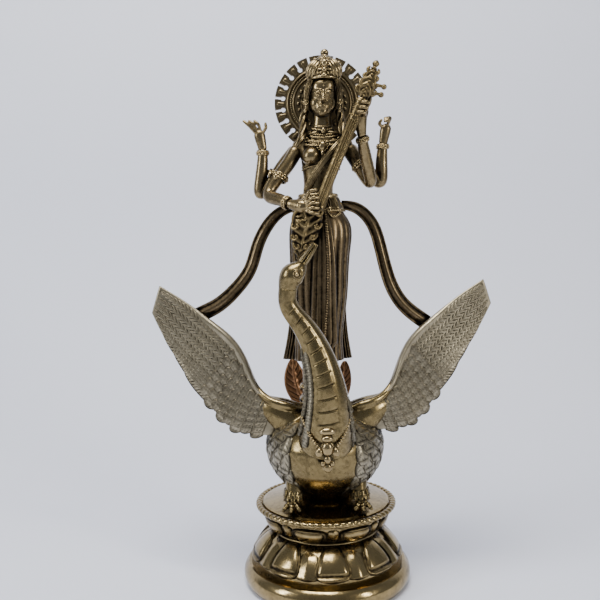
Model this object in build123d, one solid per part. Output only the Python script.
from build123d import *
from math import cos, pi, radians, sin
import os

# Cast brass figurine: a four-armed goddess with a lute stands on the back of a swan with
# raised wings, over a round double-lotus base. Millimetres, +Z up, front towards -Y.
# "right" and "left" are the figure's own sides, so right is -X.

# ---- driving dimensions ---------------------------------------------------------------
FOOT_R = 48.0                 # outside of the plain foot moulding
FOOT_H = 12.0
WALL = 3.0                    # cast wall of the hollow base
PLATE_T = 2.0                 # closing plate under the base
WAIST_R = 29.0                # narrow waist between the two lotus rings
WAIST_Z = 31.0
LOWER_R = 41.0                # lower lotus drum at its foot
UPPER_R = 36.0                # upper lotus bowl at its lip
LIP_Z = 43.5
RIM_R = 38.8                  # pitch radius of the beads
BEAD_R = 1.7
BEADS = 66
DECK_Z = 46.5                 # edge of the deck that the swan stands on
PETALS = 8                    # large petals in each lotus ring

BODY_C = (0, -1, 80)          # centre of the swan's body
BODY_R = (32.5, 37, 22.5)
BODY_TILT = -8                # breast carried higher than the rump
WING_SHOULDER_R = 9.2         # rounded shoulders that hold the wing roots
WING_T = (7.4, 6.4, 5.0, 4.4, 3.9, 3.4, 2.8)
WING_CHORD = {"right": 1.0, "left": 0.9}     # the left wing was cast a little narrower

HEM_Z = 127.0
WAIST_BELT_Z = 222.0
SHOULDER_Z = 250.0
HEAD_C = (-1, 2.5, 275)
HEAD_R = (8.2, 9.2, 12.0)
CROWN_TOP_Z = 303.0
HALO_C = (-1, 17.0, 275)
HALO_R = 27.5
HALO_T = 2.0
HALO_RAYS = 22
SLOT_W = 1.4                  # width of the slot between two rays, which ends in a round eye
PIN_R = 1.5                   # brass dowels that locate the cast pieces

SHOULDER_R = (-14, 7, SHOULDER_Z - 1)
SHOULDER_L = (14, 7, SHOULDER_Z - 1)

# Wing outline, root to tip: leading edge above, trailing edge below.
WING_LEAD = [(22, -9, 106), (33, -7, 110), (43, -2, 128),
             (51, 0, 141), (63, 2, 151), (78, 4, 162), (93, 5, 171.5)]
WING_TRAIL = [(29, -12, 87), (45, -11, 89), (63, -5, 101),
              (74, -3, 115), (82, 0, 127), (91, 3, 141.5), (98, 5, 156)]

# Swan's neck, breast to head: place and radius.
NECK = [((0, -28, 88), 15.0), ((0.5, -34, 101), 13.0), ((0.5, -37, 114), 11.0), ((-1.5, -38.5, 128), 9.0),
        ((-6, -39, 142), 7.0), ((-13, -40, 154), 5.6), ((-18.5, -41, 163), 4.9), ((-18.5, -42, 171), 4.8)]
SWAN_HEAD = (-15.5, -43, 177.5)
BEAK_TIP = (-3.8, -45, 193.5)

# Scarves, hip to wing: place and half width.
SCARF_R = [((-13, 9, 216), 2.6), ((-22, 11, 213), 3.2), ((-31, 11, 204), 3.6), ((-36.5, 10, 193), 3.7),
           ((-41, 9, 180), 3.8), ((-50, 8, 168), 4.1), ((-60, 7, 159.5), 4.4), ((-69, 7.5, 155), 4.5),
           ((-76.5, 8.5, 151.5), 4.5)]
SCARF_L = [((12, 9, 216), 2.6), ((21, 11, 214), 3.2), ((29.5, 11, 206), 3.6), ((34, 10, 194), 3.7),
           ((37, 9, 181), 3.8), ((41, 8, 168), 4.0), ((47.5, 7, 157.5), 4.2), ((55.5, 7, 150.5), 4.4),
           ((62.5, 7.5, 145.5), 4.4)]
SCARF_FLAT = 0.42             # thickness as a share of the width

# Arms: shoulder, elbow, wrist, and the hand's centre.
ARMS = {
    "right_front": [SHOULDER_R, (-29, 0, 221), (-18, -13, 216), (-11, -17, 214)],
    "right_rear": [(-14, 10, SHOULDER_Z - 1), (-34.8, 10, 224), (-34, 8, 248), (-36, 7.5, 255.5)],
    "left_front": [SHOULDER_L, (27.5, 0, 228), (21, -9, 252), (19.5, -11, 262)],
    "left_rear": [(14, 10, SHOULDER_Z - 1), (34.5, 10, 229), (34.6, 8, 250), (35.6, 7.5, 257.5)],
}
ARM_RADII = (4.2, 3.6, 2.6)
SWAY = 0.058                  # the goddess's lean: mm sideways per mm above the belt
SWAY_Z = 212

# Lute: axis of the neck from the hanging bowl up to the peg head.
LUTE_LOW = (-3, -12, 208)
LUTE_MID = (5.2, -10, 232)
LUTE_TOP = (20.5, -15.5, 272)
LUTE_FINIAL = (26.3, -16, 289)


# ---- helpers --------------------------------------------------------------------------
def vec(p):
    return Vector(*p)


def swayed(at):
    """Place shifted for the goddess's lean: the higher above the belt, the further to their left."""
    x, y, z = at
    return x + SWAY * max(z - SWAY_Z, 0), y, z


def tangents(points):
    """Direction of travel at each point, from its two neighbours."""
    last = len(points) - 1
    return [(vec(points[min(i + 1, last)]) - vec(points[max(i - 1, 0)])).normalized()
            for i in range(len(points))]


def cross_section(at, along, across, half_width, half_depth):
    """Ellipse square to the travel, its long axis held towards 'across'."""
    x_dir = vec(across) - along * along.dot(vec(across))
    plane = Plane(origin=vec(swayed(at)), x_dir=x_dir.normalized(), z_dir=along)
    if half_width == half_depth:
        return plane * Circle(half_width)
    return plane * Ellipse(half_width, half_depth)


def swept(stations, flat=1.0, across=(1, 0, 0)):
    """Solid through round or flat sections: stations are (place, half width).

    With no 'across', the long axis lies square to the travel in the XZ plane."""
    points = [p for p, _ in stations]
    faces = [cross_section(p, t, across or tuple(t.cross(Vector(0, 1, 0))), r, r * flat)
             for (p, r), t in zip(stations, tangents(points))]
    return loft(faces)


def stacked(rows):
    """Upright solid through ellipses: rows are (z, centre x, centre y, half width, half depth)."""
    return loft([Plane(origin=swayed((x, y, z))) * Ellipse(rx, ry) for z, x, y, rx, ry in rows])


def ball(at, r):
    return Pos(*swayed(at)) * Sphere(r)


def egg(at, radii, turn=(0, 0, 0)):
    """Ellipsoid with three radii, turned about its own centre."""
    return Pos(*swayed(at)) * Rot(*turn) * scale(Sphere(1), by=radii)


def rod(start, end, r):
    low = vec(swayed(start))
    axis = vec(swayed(end)) - low
    return Plane(origin=low, z_dir=axis.normalized()) * Cylinder(
        r, axis.length, align=(Align.CENTER, Align.CENTER, Align.MIN))


def cone(start, end, r_start, r_end):
    low = vec(swayed(start))
    axis = vec(swayed(end)) - low
    return Plane(origin=low, z_dir=axis.normalized()) * Cone(
        r_start, r_end, axis.length, align=(Align.CENTER, Align.CENTER, Align.MIN))


def ring(at, normal, pitch_r, wire_r):
    return Plane(origin=vec(swayed(at)), z_dir=vec(normal).normalized()) * Torus(pitch_r, wire_r)


def turned(*outline):
    """Revolve of a closed outline of (radius, z) points about the Z axis."""
    return revolve(Plane.XZ * make_face(Polyline(*outline, close=True)), Axis.Z)


def mid(a, b, share):
    return tuple(p + (q - p) * share for p, q in zip(a, b))


def round_places(count, radius, z, start=0.0):
    """Places round the Z axis, counted from the front."""
    for i in range(count):
        a = radians(start + 360 * i / count) - pi / 2
        yield radius * cos(a), radius * sin(a), z, a


# ---- base -----------------------------------------------------------------------------
def foot_ring():
    """Plain rolled moulding: a half-round outside on a flat-bottomed ring."""
    inner = FOOT_R - 8
    with BuildSketch(Plane.XZ) as profile:
        with BuildLine():
            Polyline((inner, 0), (FOOT_R - 3, 0))
            ThreePointArc((FOOT_R - 3, 0), (FOOT_R, FOOT_H / 2), (FOOT_R - 3, FOOT_H))
            Polyline((FOOT_R - 3, FOOT_H), (inner, FOOT_H), (inner, 0))
        make_face()
    return revolve(profile.sketch, Axis.Z)


def petal(root_r, root_z, tip_r, tip_z, angle, root_half, tip_half):
    """Plump petal lying on a lotus wall: a cone along the wall with a rounded end."""
    root = (root_r * cos(angle), root_r * sin(angle), root_z)
    tip = (tip_r * cos(angle), tip_r * sin(angle), tip_z)
    return cone(root, tip, root_half, tip_half) + ball(tip, tip_half * 1.02)


def lotus(drum, petals, keep_inside):
    shape = drum
    for p in petals:
        shape += p
    return shape & keep_inside


def lower_lotus():
    drum = turned((LOWER_R, FOOT_H), (WAIST_R, WAIST_Z), (WAIST_R - WALL, WAIST_Z),
                  (LOWER_R - WALL - 1, FOOT_H))
    petals = []
    for start, bulge in ((3, 0.0), (3 + 180 / PETALS, -0.9)):
        for _, _, _, a in round_places(PETALS, 1, 0, start):
            petals.append(petal(WAIST_R - 1, WAIST_Z - 3, LOWER_R - 1.5 + bulge, FOOT_H + 4.5, a, 3.4, 6.6))
    room = turned((LOWER_R - WALL - 1, FOOT_H), (FOOT_R - 0.5, FOOT_H), (FOOT_R - 0.5, FOOT_H + 5),
                  (WAIST_R + 3, WAIST_Z), (WAIST_R - WALL, WAIST_Z))
    return lotus(drum, petals, room)


def upper_lotus():
    drum = turned((WAIST_R - WALL, WAIST_Z), (WAIST_R, WAIST_Z), (UPPER_R, LIP_Z), (UPPER_R - WALL, LIP_Z))
    petals = []
    for start, root_half, tip_half in ((-18, 3.6, 7.4), (-18 + 180 / PETALS, 2.0, 3.6)):
        for _, _, _, a in round_places(PETALS, 1, 0, start):
            petals.append(petal(WAIST_R - 1.5, WAIST_Z + 2, UPPER_R - 4.4 + (8 - tip_half) * 0.4,
                                LIP_Z - 5.5, a, root_half, tip_half))
    room = turned((WAIST_R - WALL, WAIST_Z), (WAIST_R + 3, WAIST_Z),
                  (UPPER_R + 3.5, LIP_Z), (UPPER_R - WALL, LIP_Z))
    return lotus(drum, petals, room)


def beaded_rim():
    band = turned((RIM_R - 2.6, LIP_Z), (RIM_R + 0.4, LIP_Z), (RIM_R + 1.0, LIP_Z + 1.2),
                  (RIM_R, DECK_Z), (RIM_R - 2.6, DECK_Z))
    beads = [ball((x, y, z), BEAD_R) for x, y, z, _ in round_places(BEADS, RIM_R + 0.2, DECK_Z - 1.3)]
    return band + beads


def deck():
    """Shallow domed disc inside the beaded rim."""
    return turned((0, LIP_Z), (RIM_R - 2.6, LIP_Z), (RIM_R - 2.6, DECK_Z), (RIM_R - 4, DECK_Z + 0.6),
                  (RIM_R * 0.55, DECK_Z + 3.2), (0, DECK_Z + 4.2))


# ---- swan -----------------------------------------------------------------------------
def swan_body():
    trunk = egg(BODY_C, BODY_R, (BODY_TILT, 0, 0))
    rump = cone((0, 18, 84), (0, 44, 92), 17, 8)
    seat = cone((0, 0, DECK_Z + 3), (0, -1, 66), 16, 24)
    body = trunk + rump + seat
    for side in (-1, 1):
        body += cone((side * 8, -7, 88), (side * 25, -8.5, 98), 13, WING_SHOULDER_R) + ball(
            (side * 25, -8.5, 98), WING_SHOULDER_R)
    return body


def swan_neck():
    return swept(NECK)


def swan_head():
    muzzle = cone(mid(SWAN_HEAD, BEAK_TIP, 0.12), mid(SWAN_HEAD, BEAK_TIP, 0.34), 5.0, 3.0)
    return ball(SWAN_HEAD, 6.3) + muzzle


def beak(side):
    """One mandible: half of a flat cone, split along the line of the bill."""
    root = mid(SWAN_HEAD, BEAK_TIP, 0.34)
    bill = cone(root, BEAK_TIP, 2.9, 0.7)
    axis = (vec(BEAK_TIP) - vec(root)).normalized()
    up = axis.cross(Vector(0, 1, 0)).normalized() * side
    half = Plane(origin=vec(root) + up * 0.15, x_dir=axis, z_dir=up) * Box(
        60, 20, 10, align=(Align.CENTER, Align.CENTER, Align.MIN))
    return bill & half


def wing(word):
    """Blade lofted through lens sections, each from the leading to the trailing edge."""
    faces = []
    for i, along in enumerate(tangents(WING_LEAD)):
        lead = vec(WING_LEAD[i])
        trail = vec(mid(WING_LEAD[i], WING_TRAIL[i], WING_CHORD[word]))
        chord = trail - lead
        out = chord.cross(along).normalized() * (WING_T[i] / 2)
        belly = lead + chord * 0.42
        front = ThreePointArc(lead, belly + out, trail)
        back = ThreePointArc(trail, belly - out, lead)
        faces.append(make_face([front, back]))
    blade = loft(faces)
    return mirror(blade, Plane.YZ) if word == "right" else blade


def swan_eyes():
    places = [vec(SWAN_HEAD) + vec(shift) for shift in ((2.0, -5.9, 1.8), (1.4, 5.9, 1.8))]
    return [ball(tuple(place), 1.3) for place in places]


def wing_dowels():
    return [rod((s * 19, -8, 94), (s * 31, -9.5, 97), PIN_R) for s in (-1, 1)]


def swan_tail():
    """Upright fan of three rounded feathers behind the rump."""
    fan = None
    for x, top in ((0, 127), (-16.5, 121.5), (15.5, 121.5)):
        feather = swept([((x * 0.35, 36, 90), 5.0), ((x * 0.8, 41, 99), 6.6), ((x, 43, 109), 7.8),
                         ((x * 1.06, 44, top - 5), 6.0), ((x * 1.08, 44.5, top), 2.0)], flat=0.36)
        fan = feather if fan is None else fan + feather
    return fan


def swan_leg(side):
    """Short thick shank with three clawed toes spread on the deck."""
    ankle = (side * 19, -22, DECK_Z + 5.2)
    leg = cone((side * 17, -17, DECK_Z + 17), ankle, 6.5, 3.4) + ball(ankle, 3.5)
    for spread in (-28, 4, 36):
        a = radians(-90 + side * spread)
        toe = (ankle[0] + 9.0 * cos(a), ankle[1] + 9.0 * sin(a), DECK_Z + 3.0)
        leg += cone(ankle, toe, 2.6, 1.5) + ball(toe, 1.55)
    return leg


def breast_pendant():
    """Jewelled collar drop hanging on the swan's breast."""
    drops = [((0, -42.0, 96), 3.2), ((0, -43.5, 90.5), 2.4), ((0, -43.5, 84.5), 3.0),
             ((-4.2, -42.5, 87), 1.8), ((4.2, -42.5, 87), 1.8),
             ((0, -42.5, 78.5), 2.2), ((0, -41.0, 74), 1.5)]
    shape = rod((0, -40.5, 97), (0, -39.5, 74), 1.6)
    for at, r in drops:
        shape += ball(at, r)
    return shape


# ---- goddess --------------------------------------------------------------------------
def skirt():
    return stacked([(HEM_Z, -2, 5, 14, 11.5), (140, -2, 5, 13.4, 10.8), (161, -1.6, 5, 15.8, 11),
                    (190, -0.5, 5, 17.2, 11.6), (205, 0, 5, 17, 11.2), (214, -1, 5, 12.6, 9),
                    (WAIST_BELT_Z, -1.6, 5, 8.9, 6.9)])


def skirt_train():
    """Flared panel of cloth behind the legs, wider than the skirt at the hem."""
    flare = loft([Plane(origin=(-2.8, 14, HEM_Z - 1)) * Ellipse(20, 5),
                  Plane(origin=(-2.4, 13.5, 140)) * Ellipse(17.5, 4.6),
                  Plane(origin=(-1.6, 12.5, 165)) * Ellipse(15.5, 4),
                  Plane(origin=(-0.6, 12, 192)) * Ellipse(14, 3.6)])
    return flare


def front_sash():
    """Folded sash that hangs down the front of the skirt."""
    return loft([Plane(origin=(0.5, -7.6, 134)) * Ellipse(8.4, 2.2),
                 Plane(origin=(1, -7.6, 165)) * Ellipse(7.4, 2.0),
                 Plane(origin=(1, -7.4, 200)) * Ellipse(5.6, 1.8),
                 Plane(origin=(0, -4.6, 212)) * Ellipse(4.4, 1.6)])


def torso():
    trunk = stacked([(WAIST_BELT_Z, -1.6, 5, 8.7, 6.8), (228, -1.4, 5, 8.4, 6.6),
                     (236, -0.6, 4.6, 10.6, 7.4),
                     (243, 0, 4.6, 12.8, 8.4), (SHOULDER_Z, 0, 5.6, 14.6, 7.2), (255, -0.2, 6, 9.4, 5.8),
                     (259, -0.5, 5, 5.8, 5.0), (268, -1, 4, 5.1, 4.6)])
    spigot = rod((-1.6, 5, WAIST_BELT_Z - 12), (-1.6, 5, WAIST_BELT_Z + 1), 4.0)
    return trunk + spigot + ball((-6, -1.8, 242.5), 5.4) + ball((6, -1.8, 242.5), 5.4)


def belt():
    """Broad jewelled girdle round the hips, with a buckle."""
    band = stacked([(212, -0.8, 5, 15.2, 10.6), (217, -1.3, 5, 12.8, 9.2), (221, -1.5, 5, 10.6, 8.0)])
    return band + egg((-0.8, -5.2, 215.5), (4.2, 2.2, 3.4))


def shoulder_dowels():
    """One dowel through each shoulder: it crosses the torso and enters the upper arm."""
    dowels = []
    for name in ARMS:
        shoulder, elbow = ARMS[name][:2]
        inner = (shoulder[0] * 0.62, shoulder[1], shoulder[2] - 1)
        dowels.append(rod(inner, mid(shoulder, elbow, 0.22), PIN_R))
    return dowels


def foot(side):
    """Bare foot turned slightly out, with the cast tang that goes into the swan's back."""
    heel, toe = (side * 6.5 - 2, 9, 106), (side * 9 - 2, -9.5, 104.5)
    sole = swept([(heel, 3.6), (mid(heel, toe, 0.45), 3.8), (toe, 3.4)], flat=0.62)
    ankle = cone((side * 6.5 - 2, 7, 106), (side * 6 - 2, 6.5, HEM_Z + 2), 3.6, 4.4)
    tang = rod((side * 6.5 - 2, 6, 92), (side * 6.5 - 2, 6, 106), 2.0)
    return sole + ankle + tang


def anklet(side):
    return ring((side * 6.4 - 2, 6.8, 112), (0, 0, 1), 4.4, 1.3)


def arm(name):
    shoulder, elbow, wrist, _ = ARMS[name]
    r_shoulder, r_elbow, r_wrist = ARM_RADII
    return (ball(shoulder, r_shoulder * 1.05) + cone(shoulder, elbow, r_shoulder, r_elbow)
            + ball(elbow, r_elbow * 1.03) + cone(elbow, wrist, r_elbow, r_wrist))


def finger(start, bend, tip, r=1.0):
    return rod(start, bend, r) + ball(bend, r * 1.04) + rod(bend, tip, r * 0.9)


def hand(name, fingers, palm_r=3.2):
    """Palm with its fingers, each (start, bend, tip) measured from the palm's centre."""
    centre = vec(ARMS[name][3])
    wrist = vec(ARMS[name][2])
    shape = ball(tuple(centre), palm_r) + cone(tuple(wrist), tuple(centre), ARM_RADII[2], palm_r * 0.98)
    for places in fingers:
        shape += finger(*[tuple(centre + vec(p)) for p in places])
    return shape


STRUMMING = [((1.0, -1.6, dz * 0.7), (6.6, -4.6, dz * 1.15), (10.2, -3.4, dz * 1.2))
             for dz in (3.6, 1.2, -1.2, -3.6)]
STRUMMING.append(((0.5, -1.5, 2.2), (4.6, -3.4, 7.6), (8.6, -3.2, 8.6)))
BLESSING = [((dx, -0.5, 3.0), (dx * 1.2 - 1.6, -1.0, 6.5), (dx * 1.3 - 3.6, -0.5, 9.2))
            for dx in (-2.4, -0.8, 0.8)]
BLESSING.append(((2.4, -1.5, 1.5), (3.4, -2.4, 4.5), (3.0, -2.0, 7.6)))
PRESSING = [((1.6, -0.5, dz * 0.6), (1.8 + dz * 0.38, -6.6, dz + 1.0), (dz * 0.38 - 2.6, -7.4, dz + 1.4))
            for dz in (5.2, 2.6, 0)]
PRESSING.append(((3.4, 0, 3.0), (4.6, -1.0, 8.0), (5.0, -2.0, 11.0)))
HOLDING = [((1.6, -0.5, 2.6), (2.2 - i * 0.5, -1.4 - i, 6.6 - i * 0.8), (-1.6, -2.6 - i * 0.5, 6.4 - i))
           for i in range(3)]
HOLDING.append(((-2.2, -1.2, 1.0), (-3.8, -2.4, 3.6), (-2.6, -2.8, 6.0)))


def armlets():
    """Worked bands on the four upper arms."""
    bands = []
    shares = {"right_front": 0.62, "right_rear": 0.62, "left_front": 0.55, "left_rear": 0.5}
    for name, share in shares.items():
        shoulder, elbow = ARMS[name][:2]
        at = mid(shoulder, elbow, share)
        bands.append(ring(at, vec(elbow) - vec(shoulder), 4.2, 1.25))
    return bands


def bracelets():
    bands = []
    for name in ARMS:
        elbow, wrist = ARMS[name][1:3]
        at = mid(elbow, wrist, 0.93)
        bands.append(ring(at, vec(wrist) - vec(elbow), 3.1, 1.05))
    return bands


def head():
    return egg(HEAD_C, HEAD_R) + cone((-1, -4.5, 277), (-1, -7.6, 272.5), 1.1, 1.7)


def hair():
    """Dressed hair over the back of the head."""
    return egg((-1, 5.5, 277.5), (10.2, 8.2, 12.4))


def hair_locks():
    """Tresses that fall from behind the ears on to the shoulders."""
    return [swept([((side * 9 - 1, 5, 272), 2.0), ((side * 10.5 - 1, 4, 265), 2.2),
                   ((side * 10.5 - 0.5, 1.5, 257.5), 1.9), ((side * 13.2, -1.6, 251.5), 1.4)])
            for side in (-1, 1)]


def crown():
    band = Pos(*swayed((-1, 3.2, 287.5))) * Cylinder(8.9, 5.2)
    return band + ball((-5.6, -0.4, 290.5), 5.2) + ball((3.6, -0.4, 290.5), 5.2)


def crown_dome():
    return ball((-1, 4.5, 293), 7.2)


def earring(side):
    x = side * 9.6 - 1
    return ball((x, 0.5, 272.5), 1.9) + ball((x, 0.2, 268.8), 1.4)


def halo():
    """Round glory: keyhole slots part its edge into rays, inside two raised rings."""
    facing = Plane(origin=swayed(HALO_C), x_dir=(1, 0, 0), z_dir=(0, -1, 0))
    disc = Cylinder(HALO_R, HALO_T)
    for i in range(HALO_RAYS):
        a = 360 * (i + 0.5) / HALO_RAYS
        slot = Pos(HALO_R * 0.92, 0, 0) * Box(HALO_R * 0.2, SLOT_W, HALO_T * 2)
        disc -= Rot(0, 0, a) * (slot + Pos(HALO_R * 0.83, 0, 0) * Cylinder(SLOT_W * 0.95, HALO_T * 2))
    for share, wire in ((0.72, 0.9), (0.6, 0.75)):
        disc += Pos(0, 0, HALO_T / 2) * Torus(HALO_R * share, wire)
    return facing * disc


def halo_beads():
    beads = []
    for i in range(24):
        a = radians(360 * i / 24)
        x, y, z = swayed(HALO_C)
        beads.append(Pos(x + HALO_R * 0.5 * cos(a), y - HALO_T / 2 - 0.5,
                         z + HALO_R * 0.5 * sin(a)) * Sphere(1.1))
    return beads


def halo_bracket():
    """Short lug between the back of the hair and the halo."""
    return Pos(*swayed((-1, 13.5, 276))) * Box(7, 5, 12)


def halo_rivets():
    return [rod((-1, 10, z), (-1, 19.4, z), 1.0) + ball((-1, 19.0, z), 1.5)
            for z in (272.5, 279.5)]


def lute_neck():
    """Long flat neck, half round behind, from the bowl to the peg head."""
    return swept([(LUTE_LOW, 3.4), (LUTE_MID, 3.2), (mid(LUTE_MID, LUTE_TOP, 0.5), 3.1), (LUTE_TOP, 3.0)],
                 flat=0.62, across=(1, 0, -0.4))


def lute_bowl():
    """Leaf-shaped carved sound box that hangs against the right hip."""
    return loft([Plane(origin=(-5.5, -13.5, 214)) * Ellipse(6.0, 3.6),
                 Plane(origin=(-7.5, -14, 206)) * Ellipse(8.2, 4.4),
                 Plane(origin=(-9.5, -13.5, 198)) * Ellipse(7.6, 4.0),
                 Plane(origin=(-12.2, -12.6, 188.5)) * Ellipse(3.4, 2.4)])


def lute_head():
    """Carved flame-shaped peg head."""
    return swept([(mid(LUTE_TOP, LUTE_FINIAL, -0.06), 3.0), (mid(LUTE_TOP, LUTE_FINIAL, 0.28), 5.2),
                  (mid(LUTE_TOP, LUTE_FINIAL, 0.6), 3.8), (mid(LUTE_TOP, LUTE_FINIAL, 0.9), 1.7)],
                 flat=0.55, across=(1, 0, -0.4))


def lute_pegs():
    """Two tuning pegs through the peg head."""
    pegs = []
    for share in (0.18, 0.42):
        at = vec(mid(LUTE_TOP, LUTE_FINIAL, share))
        pegs.append(rod(tuple(at + Vector(3.5, -0.5, -1.2)), tuple(at + Vector(8.2, -0.9, -2.6)), 0.9)
                    + ball(tuple(at + Vector(8.2, -0.9, -2.6)), 1.5))
    return pegs


def lute_strings():
    """Four cast strings standing on the front of the neck."""
    strings = []
    for i in range(4):
        shift = Vector((i - 1.5) * 1.25, -2.55, 0)
        bottom = vec(mid(LUTE_LOW, LUTE_MID, 0.25)) + shift
        top = vec(mid(LUTE_MID, LUTE_TOP, 0.7)) + shift
        strings.append(rod(tuple(bottom), tuple(top), 0.42))
    return strings


# ---- assembly -------------------------------------------------------------------------
# In fitting order: each piece is cut to seat round every piece above it in this list, so
# dowels, tangs and spigots stay whole and their sockets are formed in the pieces below.
PIECES = {
    "wing_dowels": wing_dowels(),
    "shoulder_dowels": shoulder_dowels(),
    "halo_rivets": halo_rivets(),
    "base_foot_ring": foot_ring(),
    "base_bottom_plate": Pos(0, 0, PLATE_T / 2) * Cylinder(FOOT_R - 8, PLATE_T),
    "base_lower_lotus": lower_lotus(),
    "base_upper_lotus": upper_lotus(),
    "base_beaded_rim": beaded_rim(),
    "base_deck": deck(),
    "right_foot": foot(-1),
    "left_foot": foot(1),
    "swan_neck": swan_neck(),
    "swan_body": swan_body(),
    "swan_right_leg": swan_leg(-1),
    "swan_left_leg": swan_leg(1),
    "swan_head": swan_head(),
    "swan_upper_beak": beak(-1),
    "swan_lower_beak": beak(1),
    "swan_eyes": swan_eyes(),
    "swan_right_wing": wing("right"),
    "swan_left_wing": wing("left"),
    "swan_tail": swan_tail(),
    "swan_breast_pendant": breast_pendant(),
    "right_anklet": anklet(-1),
    "left_anklet": anklet(1),
    "figure_torso": torso(),
    "figure_skirt": skirt(),
    "figure_belt": belt(),
    "figure_front_sash": front_sash(),
    "figure_skirt_train": skirt_train(),
    "figure_head": head(),
    "figure_hair": hair(),
    "crown": crown(),
    "crown_dome": crown_dome(),
    "crown_finial": ball((-1, 4.5, CROWN_TOP_Z - 2.7), 2.7),
    "crown_jewel": ball((-1, -6.2, 292), 2.3) + ball((-1, -7.0, 287.4), 1.8),
    "lute_neck": lute_neck(),
    "lute_bowl": lute_bowl(),
    "lute_head": lute_head(),
    "lute_finial": ball(LUTE_FINIAL, 2.1),
    "lute_pegs": lute_pegs(),
    "lute_strings": lute_strings(),
    "right_front_arm": arm("right_front"),
    "left_front_arm": arm("left_front"),
    "right_rear_arm": arm("right_rear"),
    "left_rear_arm": arm("left_rear"),
    "right_front_hand": hand("right_front", STRUMMING, 3.9),
    "left_front_hand": hand("left_front", PRESSING, 3.9),
    "right_rear_hand": hand("right_rear", BLESSING),
    "left_rear_hand": hand("left_rear", HOLDING),
    "armlets": armlets(),
    "bracelets": bracelets(),
    "necklace": ring((-0.2, 3.2, 255.2), (0, -0.42, 1), 7.6, 1.5) + egg((-0.2, -4.4, 250), (5.2, 1.8, 3.6)),
    "hair_locks": hair_locks(),
    "earrings": [earring(-1), earring(1)],
    "halo": halo(),
    "halo_bracket": halo_bracket(),
    "halo_beads": halo_beads(),
    "right_scarf": swept(SCARF_R, flat=SCARF_FLAT, across=None),
    "left_scarf": swept(SCARF_L, flat=SCARF_FLAT, across=None),
}
CHIP = 0.6                    # offcuts under this volume are filed away


def boxes_meet(a, b):
    return all(lo <= hi for lo, hi in zip(tuple(a.min) + tuple(b.min), tuple(b.max) + tuple(a.max)))


def fit(piece, placed):
    """Cut one piece round the (box, solid) pairs already placed and drop the chips."""
    kept = []
    for solid in piece if isinstance(piece, list) else piece.solids():
        box = solid.bounding_box()
        near = [other for other_box, other in placed if boxes_meet(box, other_box)]
        cut = solid - near if near else solid
        kept += [s for s in cut.solids() if s.volume > CHIP]
    return kept


os.makedirs("parts", exist_ok=True)
placed = []
for name, piece in PIECES.items():
    solids = fit(piece, placed)
    placed += [(solid.bounding_box(), solid) for solid in solids]
    export_step(solids[0] if len(solids) == 1 else Compound(solids), f"parts/{name}.step")
print(len(PIECES), "nodes")
